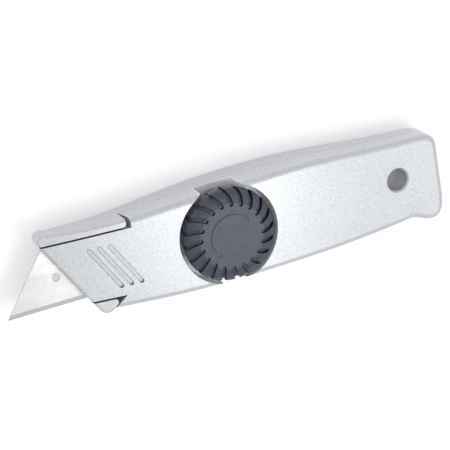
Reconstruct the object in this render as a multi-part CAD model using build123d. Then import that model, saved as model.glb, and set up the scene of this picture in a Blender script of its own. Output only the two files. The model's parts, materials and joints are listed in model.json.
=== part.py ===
from build123d import *
from math import cos, radians, sin
import os

# Fixed-blade utility knife. It lies flat on its back half: +Z points out of the knob, the blade
# points to -X and the spine to +Y. Everything is drawn about the knob axis with the cutting
# blade's middle plane at z = 0, and a last shift moves it into the part's own frame at the end.
# Lengths are in millimetres.

# ---- overall outline, seen along the knob axis ----
FRONT_TOP = (-58.24, 11.01)        # two points of the slanted nose edge
FRONT_LOW = (-45.5, -10.5)
SPINE_PTS = [(-55.89, 14.17), (-50.0, 13.5), (-43.5, 13.1), (-31.0, 13.2), (-14.0, 14.45), (6.0, 15.25),
             (20.0, 15.5), (38.0, 14.85), (58.0, 13.3), (70.9, 12.7)]
BELLY_PTS = [(-36.5, -14.75), (-18.0, -15.65), (10.0, -15.85), (40.0, -15.8), (61.0, -14.6)]
TIP_CENTRE = (-56.4, 12.1)         # round tip of the upper nose lug
TIP_R = 2.137
LUG_CENTRE = (-41.24, -12.6)       # round bottom of the lower nose lug
LUG_R = 2.6
NOTCH = (64.7, -14.3)             # finger notch ahead of the heel
HEEL = (69.5, -16.05)
REAR_LOW = (76.45, -8.9)
REAR_TOP = (76.05, 8.0)

# ---- thickness ----
CROWN_PTS = [(-62.0, 2.9), (-50.0, 4.6), (-31.0, 6.8), (8.0, 9.3), (46.0, 7.2), (78.0, 6.2)]
REST_Z = -9.1                      # flat land ground on the back half
EDGE_R = 2.0                       # shoulder round of both castings
NOSE_EDGE_R = 0.8                  # crisper shoulder of the nose lugs and of the nose panel
SIDE_WALL = 2.0                    # outline wall of the castings
PLATE = 1.9                        # side plate of the castings
PART_Z = -0.3                      # top plane of the back casting, under the blade
PART_GAP = 0.1

# ---- interlocking nose: edges of the cover, and of the two lugs, with a gap between ----
PANEL_TOP_Y = 10.25
COVER_STEP = [(-31.15, 0.0), (-29.9, 6.8)]   # x and z of the cover's step, which leans to the tail
LUG_TOP_Y = 10.85
LUG_END = [(-31.35, 0.0), (-31.35, 6.8)]     # upright end of the upper lug, so the cover lifts clear
CORNER = (-34.7, -10.7)            # sharp inner corner of the cover at the lower lug
LUG_CORNER = (-36.3, -11.25)       # matching rounded corner of the lower lug
GAP_SLOPE = (-4.0, -3.3)           # run of the cover's edge from its corner to the belly
LUG_SLOPE = (-3.7, -3.45)          # run of the lug's edge, which closes up on it at the belly
PANEL_RISE = 1.15 / 31.3           # the lower gap climbs this much per mm towards the nose

# ---- slanted grip slots in the nose panel ----
SLOT_TOPS = [(-43.8, 6.1), (-40.65, 6.15), (-37.4, 6.1)]
SLOT_RUN = (7.8, -13.4)
SLOT_W = 1.5
SLOT_DEPTH = 0.75

# ---- knob pocket and hang hole ----
POCKET_R = 16.3
POCKET_FLOOR = 0.8
POCKET_RING = 1.7
HANG = (60.4, 0.4)
HANG_R = 3.65
HANG_BOSS_R = 5.4
HANG_CHAMFER = 0.5
HANG_SEAM_CHAMFER = 0.4            # on the back half, at the parting plane

# ---- blade: standard trapezoid ----
BLADE_L = 61.0
BLADE_H = 19.0
BLADE_T = 0.6
BLADE_BACK = 33.0
BLADE_TIP = (-71.2, -10.4)
BLADE_HOLE_R = 1.4
BLADE_HOLE_OFF = 13.4              # each hole from the blade's middle
BLADE_HOLE_Y = 9.4                 # holes above the cutting edge
BEVEL = 1.5
NOTCH_OFF = 6.75                   # back-edge notches from the blade's middle
NOTCH_W = 2.6
NOTCH_D = 2.2

# ---- spare blades and their cradle ----
SPARES = 5
SPARE_CORNER = (0.0, -11.8)
STACK_Z = -4.0
TRAY_FLOOR = 0.7
TRAY_WALL = 0.65
TRAY_PLAY = 0.25
SPRING_X = 30.0
SPRING_POST_Y = 10.3
SPRING_W = 6.0
SPRING_T = 0.4
SPRING_POST_R = 2.2
SPRING_END_Y = -6.0
RIVET_R = 1.0

# ---- hollows of the castings ----
BAY_X = (-14.0, 54.3)
RIB_XS = (14.0, 30.0, 46.0)
RIB_W = 1.4

# ---- knob and clamp screw ----
KNOB_R = 15.0                      # widest, just under the shoulder
KNOB_FOOT_R = 13.5                 # the side wall tapers in to its foot
KNOB_BASE = 1.6
KNOB_TOP = 11.4
SHOULDER_R = 2.6
SHOULDER_Z = 8.3                   # height of the widest circle
DISH_R = 10.6                      # the flat face ends here
DISH_DROP = 0.45                   # and falls this much to the shoulder
HUB_Z = 2.4
HUB_R = 8.2
FLUTES = 20
FLUTE_INNER_R = 9.6
FLUTE_SWIRL = 8.5
FLUTE_W = (1.45, 2.3)              # width at the inner end and at the rim
FLUTE_DEPTH = 0.7
FLUTE_START = 119.7                # bearing of one flute's inner end, degrees
ARROW_R = 7.1
ARROW_SPAN = (43.0, 220.0)         # bearings of the two heads of the turn arrow, degrees
SCREW_R = 3.0
SCREW_BOTTOM = -6.6
SCREW_HEAD_R = 6.2
SCREW_HEAD_Z = (3.2, 5.6)
BORE_PLAY = 0.05
INSERT_R = 4.0
INSERT_Z = (-7.2, -2.9)
BOSS_R = 5.6
CLIP_Z = -2.6
CLIP_T = 0.6
CLIP_R = 4.6
GROOVE_R = 2.3
FLOOR_HOLE_R = 3.4
WASHER_R = 7.5

# ---- dowels ----
NOSE_DOWEL = (-22.5, 11.0)
NOSE_DOWEL_R = 1.0
TAIL_DOWEL = (69.3, 6.0)
TAIL_DOWEL_R = 1.25
DOWEL_Z = (-4.0, 2.4)

# ---- pins that hold the cutting blade by one hole and one notch ----
PIN_Z = (-3.2, 1.2)
BLADE_MID_X = BLADE_TIP[0] + BLADE_L / 2
PINS = [(BLADE_MID_X + BLADE_HOLE_OFF, BLADE_TIP[1] + BLADE_HOLE_Y, BLADE_HOLE_R - 0.05),
        (BLADE_MID_X + NOTCH_OFF, BLADE_TIP[1] + BLADE_H - NOTCH_D + 1.3, 1.2)]


def polar(r, deg):
    return (r * cos(radians(deg)), r * sin(radians(deg)))


def outline():
    """Closed side view of the whole handle."""
    dx, dy = FRONT_LOW[0] - FRONT_TOP[0], FRONT_LOW[1] - FRONT_TOP[1]
    n = (dx * dx + dy * dy) ** 0.5
    ux, uy = dx / n, dy / n
    lug_in = (LUG_CENTRE[0] + LUG_R * uy, LUG_CENTRE[1] - LUG_R * ux)
    lug_out = (LUG_CENTRE[0] + polar(LUG_R, -62)[0], LUG_CENTRE[1] + polar(LUG_R, -62)[1])
    lug_mid = (LUG_CENTRE[0] - 0.9, LUG_CENTRE[1] - (LUG_R ** 2 - 0.81) ** 0.5)
    tip_mid = (TIP_CENTRE[0] - 1.5, TIP_CENTRE[1] + (TIP_R ** 2 - 2.25) ** 0.5)
    edges = [
        Line(FRONT_TOP, lug_in),
        ThreePointArc(lug_in, lug_mid, lug_out),
        Spline(lug_out, BELLY_PTS[0], tangents=[polar(1, 28), (1, -0.05)]),
        Spline(*BELLY_PTS, tangents=[(1, -0.05), (1, 0.09)]),
        Spline(BELLY_PTS[-1], NOTCH, HEEL, REAR_LOW, tangents=[(1, 0.09), (-0.024, 1)]),
        Line(REAR_LOW, REAR_TOP),
        Spline(REAR_TOP, SPINE_PTS[-1], tangents=[(-0.024, 1), (-1, 0.07)]),
        Spline(*SPINE_PTS[::-1], tangents=[(-1, 0.07), (-0.97, 0.24)]),
        ThreePointArc(SPINE_PTS[0], tip_mid, FRONT_TOP),
    ]
    return make_face(edges)


def crown_solid(inset):
    """Solid between the two crowned side faces, moved in by inset."""
    top = [(x, z - inset) for x, z in CROWN_PTS]
    low = [(x, inset - z) for x, z in CROWN_PTS]
    with BuildSketch(Plane.XZ.offset(-30)) as sk:
        with BuildLine():
            Spline(*top)
            Line(top[-1], low[-1])
            Spline(*low[::-1])
            Line(low[0], top[0])
        make_face()
    return extrude(sk.sketch, 60)


def prism(points, z0, z1):
    """Straight prism over a closed polygon."""
    return Pos(0, 0, z0) * extrude(make_face(Polyline(*points, close=True)), z1 - z0)


def disc(x, y, r, z0, z1):
    return Pos(x, y, (z0 + z1) / 2) * Cylinder(r, z1 - z0)


def ring(r0, r1, z0, z1):
    return disc(0, 0, r1, z0, z1) - disc(0, 0, r0, z0 - 1, z1 + 1)


def slab(z0, z1):
    return Pos(5, 0, (z0 + z1) / 2) * Box(200, 80, z1 - z0)


def blade_outline(x, y, grow=0.0):
    """Trapezoid with its long cutting edge at the bottom, lower left corner at (x, y)."""
    step = (BLADE_L - BLADE_BACK) / 2
    side = grow * (step ** 2 + BLADE_H ** 2) ** 0.5 / BLADE_H
    lean = grow * step / BLADE_H
    return [(x - side - lean, y - grow), (x + BLADE_L + side + lean, y - grow),
            (x + BLADE_L - step + side - lean, y + BLADE_H + grow),
            (x + step - side + lean, y + BLADE_H + grow)]


def blade(x, y, z0):
    body = prism(blade_outline(x, y), z0, z0 + BLADE_T)
    mid = x + BLADE_L / 2
    for sx in (-1, 1):
        body -= disc(mid + sx * BLADE_HOLE_OFF, y + BLADE_HOLE_Y, BLADE_HOLE_R, z0 - 1, z0 + 2)
        body -= Pos(mid + sx * NOTCH_OFF, y + BLADE_H, z0) * Box(NOTCH_W, 2 * NOTCH_D, 3)
    for side in (1, -1):
        corners = [(0, 0.03), (-1, 0.03), (-1, 1), (BEVEL, 1), (BEVEL, BLADE_T / 2)]
        flank = [(v, side * w) for v, w in corners]
        cut = extrude(Plane.YZ * make_face(Polyline(*flank, close=True)), BLADE_L + 2)
        body -= Pos(x - 1, y, z0 + BLADE_T / 2) * cut
    return body


def hang_cut(z0, z1):
    return disc(HANG[0], HANG[1], HANG_R, z0, z1)


def rim_chamfer(casting, z0, z1, size):
    """Break the rim of the hang hole that lies between two heights."""
    rims = []
    for e in casting.edges():
        mid = e.bounding_box().center()
        centred = (mid - Vector(HANG[0], HANG[1], mid.Z)).length < 0.1
        if z0 < mid.Z < z1 and centred and e.length > 3 * HANG_R:
            rims.append(e)
    return chamfer(rims, size)


def step_block(face, y, z0):
    """Room above y and ahead of a step whose end face leans along the handle."""
    (xa, za), (xb, zb) = face
    lean = (xb - xa) / (zb - za)
    side = [(-66, z0), (xa + lean * (z0 - za), z0), (xa + lean * (20 - za), 20), (-66, 20)]
    return Pos(0, 30, 0) * extrude(Plane.XZ * make_face(Polyline(*side, close=True)), 30 - y)


def upright_edges(solid, x, y):
    """Upright edges that pass close to a point of the side view."""
    near = []
    for e in solid.edges():
        mid = e.center()
        if abs(mid.X - x) < 1 and abs(mid.Y - y) < 0.01 and e.bounding_box().size.Z > 9:
            near.append(e)
    return near


# ---- castings ----
SIDE = outline()
BLOCK = Pos(0, 0, -14) * extrude(SIDE, 28) & crown_solid(0)
RIMS = [e for e in BLOCK.edges() if e.geom_type != GeomType.LINE]
SOFT = fillet(RIMS, EDGE_R)
CRISP = fillet(RIMS, NOSE_EDGE_R)
STACK_TOP = STACK_Z + SPARES * BLADE_T
COVER_Z = PART_Z + PART_GAP
TRAY_LOW_Y = SPARE_CORNER[1] - 0.1
SEAT = STACK_Z - TRAY_FLOOR


def hollow_block():
    """Room inside both castings between the blade bed and the hang hole."""
    top = [(x, y - SIDE_WALL) for x, y in SPINE_PTS if -32 < x < 60]
    low = [(x, y + SIDE_WALL) for x, y in BELLY_PTS if x > -20]
    face = make_face([Spline(*top), Line(top[-1], low[-1]), Spline(*low[::-1]), Line(low[0], top[0])])
    block = Pos(0, 0, -14) * extrude(face, 28) & crown_solid(PLATE)
    block &= Pos((BAY_X[0] + BAY_X[1]) / 2, 0, 0) * Box(BAY_X[1] - BAY_X[0], 80, 40)
    return block - disc(*HANG, HANG_BOSS_R, -20, 20)


hollow = hollow_block()


def tray_area(grow, low_y, z0, z1):
    """Prism around a spare blade, open towards the belly."""
    return prism(blade_outline(*SPARE_CORNER, grow), z0, z1) & Pos(30, low_y + 20, 0) * Box(90, 40, 40)


def build_back():
    corner = LUG_CORNER
    back = SOFT & slab(-20, PART_Z)
    low_y = corner[1] + 5 * LUG_SLOPE[1]
    low_lug = [(-66, corner[1] + PANEL_RISE * (66 + corner[0])), corner,
               (corner[0] + 5 * LUG_SLOPE[0], low_y), (-66, low_y)]
    top_area = step_block(LUG_END, LUG_TOP_Y, PART_Z)
    low_area = prism(low_lug, PART_Z, 20)
    back += CRISP & fillet(upright_edges(top_area, LUG_END[1][0], LUG_TOP_Y), 1.0)
    back += CRISP & fillet(upright_edges(low_area, *corner), 1.0)
    bay = hollow & slab(-20, PART_Z)
    for x in RIB_XS:
        bay -= Pos(x, 0, SEAT - 10) * Box(RIB_W, 80, 20)
    bay -= disc(0, 0, BOSS_R, -20, INSERT_Z[1])
    bay -= disc(SPRING_X, SPRING_POST_Y, SPRING_POST_R, -20, STACK_TOP)
    bay -= Pos(SPRING_X, SPRING_POST_Y + 3, STACK_TOP - 10) * Box(2 * SPRING_POST_R, 6, 20)
    bay += tray_area(TRAY_PLAY + TRAY_WALL + 0.25, TRAY_LOW_Y - 0.1, SEAT, PART_Z)
    back -= bay
    back -= disc(0, 0, INSERT_R, *INSERT_Z)
    back -= disc(SPRING_X, SPRING_POST_Y, RIVET_R, STACK_TOP - 2.6, STACK_TOP)
    back -= hang_cut(-20, 20)
    for (x, y), r in ((NOSE_DOWEL, NOSE_DOWEL_R), (TAIL_DOWEL, TAIL_DOWEL_R)):
        back -= disc(x, y, r, DOWEL_Z[0], 5)
    for x, y, r in PINS:
        back -= disc(x, y, r, PIN_Z[0], 5)
    back = rim_chamfer(back, -20, -3, HANG_CHAMFER)
    back = rim_chamfer(back, PART_Z - 0.01, PART_Z + 0.01, HANG_SEAM_CHAMFER)
    return back & slab(REST_Z, 20)


def build_cover():
    edge_y = CORNER[1] + PANEL_RISE * 1.3
    panel = [(-66, PANEL_TOP_Y), (-36, PANEL_TOP_Y), (-36, edge_y),
             (-66, CORNER[1] + PANEL_RISE * (66 + CORNER[0]))]
    rest = [(-36, 30), (90, 30), (90, -30),
            (CORNER[0] + 5.85 * GAP_SLOPE[0], CORNER[1] + 5.85 * GAP_SLOPE[1]), CORNER, (-36, edge_y)]
    cover = SOFT & prism(rest, COVER_Z, 20)
    cover -= step_block(COVER_STEP, PANEL_TOP_Y, -5)
    cover += CRISP & prism(panel, COVER_Z, 20)
    skin = crown_solid(SLOT_DEPTH)
    run = Vector(*SLOT_RUN)
    angle = Vector(1, 0, 0).get_signed_angle(run, Vector(0, 0, 1))
    for x, y in SLOT_TOPS:
        area = Pos(x + run.X / 2, y + run.Y / 2) * Rot(0, 0, angle) * SlotCenterToCenter(run.length, SLOT_W)
        cover -= extrude(area, 20) - skin
    cover -= disc(0, 0, POCKET_R, POCKET_FLOOR, 20)
    cover -= disc(0, 0, FLOOR_HOLE_R, -5, 5)
    bay = hollow & Pos(50, 0, 10 + COVER_Z) * Box(100, 80, 20)
    bay -= disc(0, 0, POCKET_R + POCKET_RING, -20, 20)
    cover -= bay
    cover -= prism(blade_outline(*BLADE_TIP, 0.15), -2, BLADE_T / 2 + 0.05)
    cover -= hang_cut(-20, 20)
    for (x, y), r in ((NOSE_DOWEL, NOSE_DOWEL_R), (TAIL_DOWEL, TAIL_DOWEL_R)):
        cover -= disc(x, y, r + BORE_PLAY, -2, DOWEL_Z[1] + 0.2)
    for x, y, r in PINS:
        cover -= disc(x, y, r + BORE_PLAY, -2, PIN_Z[1] + 0.2)
    return rim_chamfer(cover, 3, 20, HANG_CHAMFER)


# ---- knob ----
def knob_profile(inset):
    """The knob as a turned solid, its outside moved in by inset."""
    foot_r = KNOB_FOOT_R - inset
    wide = (KNOB_R - inset, SHOULDER_Z)
    brow = (KNOB_R - inset - SHOULDER_R, KNOB_TOP - inset - DISH_DROP)
    top = KNOB_TOP - inset
    with BuildSketch(Plane.XZ) as sk:
        with BuildLine():
            Line((0, KNOB_BASE), (foot_r - 0.4, KNOB_BASE))
            Line((foot_r - 0.4, KNOB_BASE), (foot_r, KNOB_BASE + 0.4))
            Line((foot_r, KNOB_BASE + 0.4), (wide[0] - 0.3, SHOULDER_Z - 1.6))
            Spline((wide[0] - 0.3, SHOULDER_Z - 1.6), wide, brow, tangents=[(0.26, 1), (-1, 0.25)])
            Line(brow, (DISH_R, top))
            Line((DISH_R, top), (0, top))
            Line((0, top), (0, KNOB_BASE))
        make_face()
    return revolve(sk.sketch, Axis.Z)


def flute():
    """Swirled slot that starts round and narrow and widens to the rim."""
    steps = [FLUTE_INNER_R + FLUTE_W[0] / 2, 12.6, 16.0]
    sides = []
    for side in (1, -1):
        row = []
        for r in steps:
            t = (r - steps[0]) / (KNOB_R - steps[0])
            half = (FLUTE_W[0] + (FLUTE_W[1] - FLUTE_W[0]) * t) / 2
            turn = FLUTE_SWIRL * t ** 1.3
            px, py = polar(r, turn)
            nx, ny = polar(half, turn + 90 - 28 * t)
            row.append((px + side * nx, py + side * ny))
        sides.append(row)
    inner = polar(FLUTE_INNER_R, 0)
    edges = [Spline(*sides[0]), Line(sides[0][-1], sides[1][-1]), Spline(*sides[1]),
             ThreePointArc(sides[0][0], inner, sides[1][0])]
    return extrude(make_face(edges), KNOB_TOP + 1)


def arrow():
    """Shallow turn arrow with a head at each end."""
    a0, a1 = ARROW_SPAN
    band = ring(ARROW_R - 0.2, ARROW_R + 0.2, KNOB_TOP - 0.2, KNOB_TOP + 1)
    wedge = [(0, 0)] + [polar(12, a0 + (a1 - a0) * k / 6) for k in range(7)]
    mark = band & prism(wedge, KNOB_TOP - 1, KNOB_TOP + 2)
    for a, way in ((a0, -1), (a1, 1)):
        back = a - way * 2
        head = [polar(ARROW_R, a + way * 13), polar(ARROW_R + 0.9, back), polar(ARROW_R - 0.9, back)]
        mark += prism(head, KNOB_TOP - 0.2, KNOB_TOP + 1)
    return mark


def build_knob():
    core = knob_profile(FLUTE_DEPTH)
    slot = flute() - core
    body = knob_profile(0)
    body -= [Rot(0, 0, FLUTE_START + 360 / FLUTES * k) * slot for k in range(FLUTES)]
    body -= arrow()
    body -= disc(0, 0, HUB_R, 0, HUB_Z)
    body -= ring(9.6, 11.8, 0, 6.6)
    body -= disc(0, 0, SCREW_R, 0, SCREW_HEAD_Z[0])
    body -= disc(0, 0, SCREW_HEAD_R, *SCREW_HEAD_Z)
    return body


def build_screw():
    screw = disc(0, 0, SCREW_R, SCREW_BOTTOM, SCREW_HEAD_Z[0]) + disc(0, 0, SCREW_HEAD_R, *SCREW_HEAD_Z)
    screw = chamfer(screw.edges().group_by(Axis.Z)[0], 0.5)
    return screw - ring(GROOVE_R, 9, CLIP_Z - BORE_PLAY, CLIP_Z + CLIP_T + BORE_PLAY)


def build_spring_washer():
    washer = ring(SCREW_R + 0.35, 5.6, POCKET_FLOOR, HUB_Z - 0.6)
    return washer - Pos(4.5, 0, POCKET_FLOOR + 0.5) * Rot(35, 0, 0) * Box(4, 0.5, 6)


def build_clip():
    clip = ring(GROOVE_R + BORE_PLAY, CLIP_R, CLIP_Z, CLIP_Z + CLIP_T)
    clip -= Pos(3, 0, CLIP_Z) * Box(6, 3.6, 4)
    for deg in (100, 260):
        x, y = polar(3.9, deg)
        clip -= disc(x, y, 0.9, CLIP_Z - 1, CLIP_Z + 2)
    return clip


# ---- magazine ----
def build_tray():
    outer = TRAY_PLAY + TRAY_WALL
    tray = tray_area(outer, TRAY_LOW_Y, SEAT, STACK_TOP - 0.2)
    tray -= prism(blade_outline(*SPARE_CORNER, TRAY_PLAY), STACK_Z, 5)
    for dx in (14, 30.5, 47):
        window = extrude(SlotOverall(12, 5, rotation=90), 3)
        tray -= Pos(SPARE_CORNER[0] + dx, SPARE_CORNER[1] + 9, SEAT) * window
    return tray


def build_spring():
    z = STACK_TOP
    strip = [(SPRING_POST_Y + 1.9, z), (SPRING_END_Y, z), (SPRING_END_Y - 2.0, z + 0.9),
             (SPRING_END_Y - 2.15, z + 1.27), (SPRING_END_Y - 0.1, z + SPRING_T),
             (SPRING_POST_Y + 1.9, z + SPRING_T)]
    leaf = extrude(Plane.YZ * make_face(Polyline(*strip, close=True)), SPRING_W / 2, both=True)
    return Pos(SPRING_X, 0, 0) * leaf - disc(SPRING_X, SPRING_POST_Y, RIVET_R, -5, 5)


def build_rivet():
    z = STACK_TOP + SPRING_T
    shank = disc(SPRING_X, SPRING_POST_Y, RIVET_R, STACK_TOP - 2.6, z)
    head = disc(SPRING_X, SPRING_POST_Y, 1.9, z, z + 0.8)
    return shank + fillet(head.edges().group_by(Axis.Z)[-1], 0.5)


nodes = {
    "back_casting": build_back(),
    "cover_casting": build_cover(),
    "cutting_blade": blade(*BLADE_TIP, -BLADE_T / 2),
    "knob_cap": build_knob(),
    "clamp_screw": build_screw(),
    "thrust_washer": ring(SCREW_R + 0.3, WASHER_R, HUB_Z - 0.6, HUB_Z),
    "spring_washer": build_spring_washer(),
    "retaining_clip": build_clip(),
    "threaded_insert": ring(SCREW_R + BORE_PLAY, INSERT_R, *INSERT_Z),
    "blade_hole_pin": disc(*PINS[0], *PIN_Z),
    "blade_notch_pin": disc(*PINS[1], *PIN_Z),
    "nose_dowel": disc(*NOSE_DOWEL, NOSE_DOWEL_R, *DOWEL_Z),
    "tail_dowel": disc(*TAIL_DOWEL, TAIL_DOWEL_R, *DOWEL_Z),
    "magazine_tray": build_tray(),
    "magazine_spring": build_spring(),
    "spring_rivet": build_rivet(),
}
for k in range(SPARES):
    nodes[f"spare_blade_{k + 1}"] = blade(*SPARE_CORNER, STACK_Z + k * BLADE_T)

boxes = [n.bounding_box() for n in nodes.values()]
low = [min(getattr(b.min, a) for b in boxes) for a in "XYZ"]
high = [max(getattr(b.max, a) for b in boxes) for a in "XYZ"]
shift = Pos(-(low[0] + high[0]) / 2, -(low[1] + high[1]) / 2, -low[2])
print("low", low, "high", high)

os.makedirs("parts", exist_ok=True)
for name, solid in nodes.items():
    export_step(shift * solid, f"parts/{name}.step")
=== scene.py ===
import json
import math

import bpy
from mathutils import Matrix, Vector


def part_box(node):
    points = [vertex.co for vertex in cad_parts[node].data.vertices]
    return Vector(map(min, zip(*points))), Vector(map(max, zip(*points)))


# Utility knife: looks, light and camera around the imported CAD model.
# Lengths are in metres, apart from the camera's lens and sensor in millimetres.

CAM_TURN = math.radians(19.782)                 # about Y, the knife's height
CAM_TILT = math.radians(20.725)                 # about the level line of the view
CAM_ROLL = math.radians(9.045)                  # about the line of sight
CAM_DISTANCE = 0.53042                          # from the knob axis, along the line of sight
CAM_OFFSET = (-0.0020489, -0.0003878)           # the knob axis from the view's middle, right and up
CAM_LENS_MM = 136.0
CAM_SENSOR_MM = 36.0
CAM_CLIP = (0.01, 20)                           # nearest and farthest that it sees

LAMP_PLACE = (0.078, -0.060, 0.26)
LAMP_SIZE = (0.175, 0.11)
LAMP_POWER = 0.208
LAMP_COLOUR = (0.94, 0.97, 1.0)

FLOOR_HALF = 1.2                                # half the side of the square floor
FLOOR_COLOUR = (0.86, 0.86, 0.86, 1)
FLOOR_GLOW = 0.24
HORIZON_COLOUR = (0.76, 0.77, 0.79, 1)
ZENITH_COLOUR = (0.90, 0.915, 0.94, 1)
ZENITH_HEIGHT = 0.85                            # 0 is level, 1 is straight up

SEAT_RADIUS = 0.01636                           # just past the wall of the knob's pocket
SEAT_RISE = 0.0005                              # just under its floor, from the blade's middle
CREVICE_SAMPLES = 6

METAL_SHADE = 0.85                              # darkest mottling on the small metal pieces
METAL_GLOSSIER = 0.06                           # how far their roughness falls and rises
METAL_DULLER = 0.08

BLACK = (0, 0, 0)
WHITE = (1, 1, 1)

# sockets of the Mix node that carry colour
MIX_A, MIX_B, MIX_RESULT = 6, 7, 2

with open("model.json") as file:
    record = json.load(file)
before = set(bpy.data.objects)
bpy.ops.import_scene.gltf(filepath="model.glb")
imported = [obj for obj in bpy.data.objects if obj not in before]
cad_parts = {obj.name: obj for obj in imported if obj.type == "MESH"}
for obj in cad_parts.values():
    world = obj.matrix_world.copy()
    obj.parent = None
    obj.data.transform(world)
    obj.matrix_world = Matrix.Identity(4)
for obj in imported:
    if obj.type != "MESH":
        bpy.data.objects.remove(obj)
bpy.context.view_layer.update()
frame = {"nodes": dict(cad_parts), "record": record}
nodes = frame["nodes"]
joints = frame["record"]["behaviour"]["joints"]
knob_joint = next(j for j in joints if j["name"] == "knob_turn")
blade_low, blade_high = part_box("cutting_blade")
# the knob axis where it crosses the middle plane of the cutting blade
KNOB_AXIS = Vector((*knob_joint["pos_m"][:2], (blade_low[2] + blade_high[2]) / 2))


# ---- node helpers ----
class Nodes:
    """A small builder for one material's node tree."""

    def __init__(self, name):
        self.material = bpy.data.materials.new(name)
        self.material.use_nodes = True
        self.tree = self.material.node_tree
        self.bsdf = self.tree.nodes["Principled BSDF"]
        self.coord = self.tree.nodes.new("ShaderNodeTexCoord").outputs["Object"]

    def link(self, value, socket):
        """Feed a socket from another node's output, or from a plain value."""
        if isinstance(value, bpy.types.NodeSocket):
            self.tree.links.new(value, socket)
        else:
            socket.default_value = value

    def noise(self, scale, detail, rough, stretch=(1, 1, 1)):
        place = self.tree.nodes.new("ShaderNodeMapping")
        place.inputs["Scale"].default_value = stretch
        self.link(self.coord, place.inputs["Vector"])
        node = self.tree.nodes.new("ShaderNodeTexNoise")
        self.link(place.outputs["Vector"], node.inputs["Vector"])
        node.inputs["Scale"].default_value = scale
        node.inputs["Detail"].default_value = detail
        node.inputs["Roughness"].default_value = rough
        return node.outputs["Fac"]

    def openness(self, reach, closed, clear):
        """0 in grooves and corners narrower than the reach, 1 on open faces."""
        node = self.tree.nodes.new("ShaderNodeAmbientOcclusion")
        node.samples = CREVICE_SAMPLES
        node.inputs["Distance"].default_value = reach
        return self.ramp(node.outputs["AO"], [(closed, BLACK), (clear, WHITE)])

    def calc(self, operation, a, b):
        node = self.tree.nodes.new("ShaderNodeMath")
        node.operation = operation
        self.link(a, node.inputs[0])
        self.link(b, node.inputs[1])
        return node.outputs["Value"]

    def within(self, axis, radius, floor_z):
        """1 inside an upright cylinder about an axis and above a height, else 0."""
        parts = self.tree.nodes.new("ShaderNodeSeparateXYZ")
        self.link(self.coord, parts.inputs["Vector"])
        dx = self.calc("SUBTRACT", parts.outputs["X"], axis[0])
        dy = self.calc("SUBTRACT", parts.outputs["Y"], axis[1])
        square = self.calc("ADD", self.calc("MULTIPLY", dx, dx), self.calc("MULTIPLY", dy, dy))
        near = self.calc("LESS_THAN", square, radius * radius)
        above = self.calc("GREATER_THAN", parts.outputs["Z"], floor_z)
        return self.calc("MULTIPLY", near, above)

    def ramp(self, fac, stops):
        """Colours along a value; each stop is a position and a colour."""
        node = self.tree.nodes.new("ShaderNodeValToRGB")
        self.link(fac, node.inputs["Fac"])
        marks = node.color_ramp.elements
        while len(marks) < len(stops):
            marks.new(0.5)
        for mark, (position, colour) in zip(marks, stops):
            mark.position = position
            mark.color = (*colour, 1)
        return node.outputs["Color"]

    def span(self, fac, low, high):
        """Stretch a value of 0 to 1 over a range."""
        node = self.tree.nodes.new("ShaderNodeMapRange")
        self.link(fac, node.inputs["Value"])
        node.inputs["To Min"].default_value = low
        node.inputs["To Max"].default_value = high
        return node.outputs["Result"]

    def mix(self, fac, a, b):
        """Colour a where the factor is 0, colour b where it is 1."""
        node = self.tree.nodes.new("ShaderNodeMix")
        node.data_type = "RGBA"
        self.link(fac, node.inputs["Factor"])
        self.link(a, node.inputs[MIX_A])
        self.link(b, node.inputs[MIX_B])
        return node.outputs[MIX_RESULT]

    def bump(self, height, depth, strength, normal=None):
        node = self.tree.nodes.new("ShaderNodeBump")
        self.link(height, node.inputs["Height"])
        node.inputs["Distance"].default_value = depth
        node.inputs["Strength"].default_value = strength
        if normal is not None:
            self.link(normal, node.inputs["Normal"])
        return node.outputs["Normal"]

    def set(self, **values):
        """Set the surface's own sockets, with _ for each space in a socket's name."""
        for key, value in values.items():
            self.link(value, self.bsdf.inputs[key.replace("_", " ")])


# ---- materials ----
def cast_silver():
    """Die-casting under a thin silver coat with fine flakes."""
    m = Nodes("cast_silver")
    grain = m.noise(scale=2500, detail=3.0, rough=0.65)
    fleck = m.noise(scale=4200, detail=2.0, rough=0.7)
    broad = m.noise(scale=70, detail=2.0, rough=0.5)
    coat = m.ramp(grain, [
        (0.30, (0.42, 0.425, 0.435)),
        (0.50, (0.56, 0.565, 0.575)),
        (0.70, (0.70, 0.705, 0.72)),
    ])
    smooth_coat = (0.56, 0.566, 0.58, 1)
    coat = m.mix(m.span(broad, 0.0, 0.3), coat, smooth_coat)
    # painted shade: the casting turns near-black in grooves, slots and joins narrower than the
    # reach, where shade falls
    deep_crevice_shade = (0.10, 0.10, 0.11, 1)
    pale_crevice_shade = (0.20, 0.20, 0.215, 1)
    crevice_shade = m.mix(m.span(fleck, 0.6, 1.0), deep_crevice_shade, pale_crevice_shade)
    tone = m.mix(m.openness(reach=0.0009, closed=0.25, clear=0.8), crevice_shade, coat)
    # painted light: the knob's pocket is painted near-white and made less metallic, standing in for
    # the bright light on its floor and wall
    pocket_painted_light = (0.93, 0.935, 0.95, 1)
    seat = m.within(KNOB_AXIS, SEAT_RADIUS, KNOB_AXIS.z + SEAT_RISE)
    tone = m.mix(seat, tone, pocket_painted_light)
    m.set(Base_Color=tone, Metallic=m.span(seat, 0.6, 0.25), Roughness=m.span(fleck, 0.28, 0.46))
    pebbled = m.bump(grain, depth=0.00004, strength=0.6)
    m.set(Normal=m.bump(fleck, depth=0.00002, strength=0.5, normal=pebbled))
    return m.material


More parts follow.
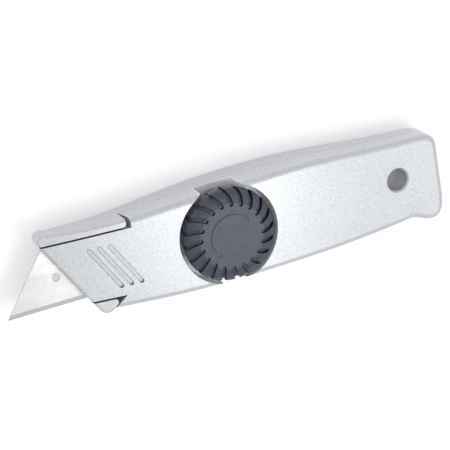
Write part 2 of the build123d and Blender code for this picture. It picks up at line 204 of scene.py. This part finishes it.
def knob_plastic():
    """Dark blue-grey moulding with a low gloss, darker down in its flutes."""
    m = Nodes("knob_plastic")
    grain = m.noise(scale=2600, detail=3.0, rough=0.6)
    broad = m.noise(scale=260, detail=4.0, rough=0.7)
    tone = m.ramp(broad, [(0.3, (0.030, 0.033, 0.054)), (0.7, (0.050, 0.054, 0.083))])
    flute_shade = (0.006, 0.006, 0.009, 1)
    tone = m.mix(m.openness(reach=0.0011, closed=0.35, clear=0.85), flute_shade, tone)
    m.set(Base_Color=tone, Roughness=m.span(grain, 0.32, 0.46), Specular_IOR_Level=0.55)
    m.set(Normal=m.bump(grain, depth=0.00002, strength=0.6))
    return m.material


def blade_steel():
    """Rolled strip: faint lines along the blade and a cloudy oil tint."""
    m = Nodes("blade_steel")
    lines = m.noise(scale=900, detail=3.0, rough=0.6, stretch=(0.04, 1.0, 1.0))
    cloud = m.noise(scale=150, detail=4.0, rough=0.65)
    tone = m.ramp(cloud, [(0.3, (0.50, 0.49, 0.465)), (0.7, (0.60, 0.592, 0.565))])
    m.set(Base_Color=tone, Metallic=0.9, Roughness=m.span(lines, 0.26, 0.42))
    m.set(Normal=m.bump(lines, depth=0.00001, strength=0.5))
    return m.material


def plain_metal(name, colour, rough):
    """Small metal pieces: one colour, mottled a little and uneven in gloss."""
    m = Nodes(name)
    lines = m.noise(scale=1800, detail=2.0, rough=0.6)
    deep = tuple(c * METAL_SHADE for c in colour)
    m.set(Base_Color=m.ramp(lines, [(0.3, deep), (0.7, colour)]), Metallic=1.0)
    m.set(Roughness=m.span(lines, rough - METAL_GLOSSIER, rough + METAL_DULLER))
    m.set(Normal=m.bump(lines, depth=0.00001, strength=0.5))
    return m.material


def tray_plastic():
    """Near-black moulding with a fine grain."""
    m = Nodes("tray_plastic")
    grain = m.noise(scale=2400, detail=3.0, rough=0.6)
    m.set(Base_Color=m.ramp(grain, [(0.3, (0.045, 0.047, 0.052)), (0.7, (0.06, 0.062, 0.068))]))
    m.set(Roughness=m.span(grain, 0.45, 0.6))
    m.set(Normal=m.bump(grain, depth=0.00002, strength=0.5))
    return m.material


def paint_pieces():
    """Give every CAD object the material that the record names for it."""
    materials = {
        "cast_silver": cast_silver(),
        "knob_plastic": knob_plastic(),
        "blade_steel": blade_steel(),
        "fastener_steel": plain_metal("fastener_steel", (0.62, 0.62, 0.64), 0.3),
        "insert_brass": plain_metal("insert_brass", (0.78, 0.58, 0.26), 0.28),
        "tray_plastic": tray_plastic(),
    }
    slots = {s["node"]: s["material_slot"] for s in frame["record"]["subparts"]}
    for name, obj in nodes.items():
        obj.data.materials.clear()
        obj.data.materials.append(materials[slots[name]])


# ---- floor, light and camera ----
def add_floor():
    mesh = bpy.data.meshes.new("floor")
    h = FLOOR_HALF
    mesh.from_pydata([(-h, -h, 0), (h, -h, 0), (h, h, 0), (-h, h, 0)], [], [(0, 1, 2, 3)])
    obj = bpy.data.objects.new("floor", mesh)
    bpy.context.scene.collection.objects.link(obj)
    m = Nodes("floor")
    m.set(Base_Color=FLOOR_COLOUR, Roughness=0.9)
    m.set(Emission_Color=(*WHITE, 1), Emission_Strength=FLOOR_GLOW)
    mesh.materials.append(m.material)


def add_surround():
    """Soft studio surround, dimmer towards the horizon."""
    surround = bpy.data.worlds.new("studio")
    surround.use_nodes = True
    tree = surround.node_tree
    coord = tree.nodes.new("ShaderNodeTexCoord")
    split = tree.nodes.new("ShaderNodeSeparateXYZ")
    ramp = tree.nodes.new("ShaderNodeValToRGB")
    tree.links.new(coord.outputs["Generated"], split.inputs["Vector"])
    tree.links.new(split.outputs["Z"], ramp.inputs["Fac"])
    low, high = ramp.color_ramp.elements
    low.color = HORIZON_COLOUR
    high.color = ZENITH_COLOUR
    high.position = ZENITH_HEIGHT
    tree.links.new(ramp.outputs["Color"], tree.nodes["Background"].inputs["Color"])
    bpy.context.scene.world = surround


def add_overhead_lamp():
    """A rectangular softbox past the tail on the belly side; unturned, it points straight down."""
    light = bpy.data.lights.new("overhead", "AREA")
    light.shape = "RECTANGLE"
    light.size, light.size_y = LAMP_SIZE
    light.energy = LAMP_POWER
    light.color = LAMP_COLOUR
    obj = bpy.data.objects.new("overhead", light)
    bpy.context.scene.collection.objects.link(obj)
    obj.location = LAMP_PLACE


def add_camera():
    """Camera placed by its turn, tilt and roll around the knob axis."""
    turn = Matrix.Rotation(CAM_TURN, 3, "Y")
    tilt = Matrix.Rotation(CAM_TILT, 3, "X")
    roll = Matrix.Rotation(CAM_ROLL, 3, "Z")
    to_world = (roll @ tilt @ turn).transposed()
    spot = to_world @ Vector((-CAM_OFFSET[0], -CAM_OFFSET[1], CAM_DISTANCE))
    data = bpy.data.cameras.new("camera")
    data.lens = CAM_LENS_MM
    data.sensor_width = CAM_SENSOR_MM
    data.clip_start, data.clip_end = CAM_CLIP
    obj = bpy.data.objects.new("camera", data)
    bpy.context.scene.collection.objects.link(obj)
    obj.matrix_world = Matrix.Translation(KNOB_AXIS + spot) @ to_world.to_4x4()
    bpy.context.scene.camera = obj


paint_pieces()
add_floor()
add_surround()
add_overhead_lamp()
add_camera()
bpy.context.scene.view_settings.view_transform = "Standard"
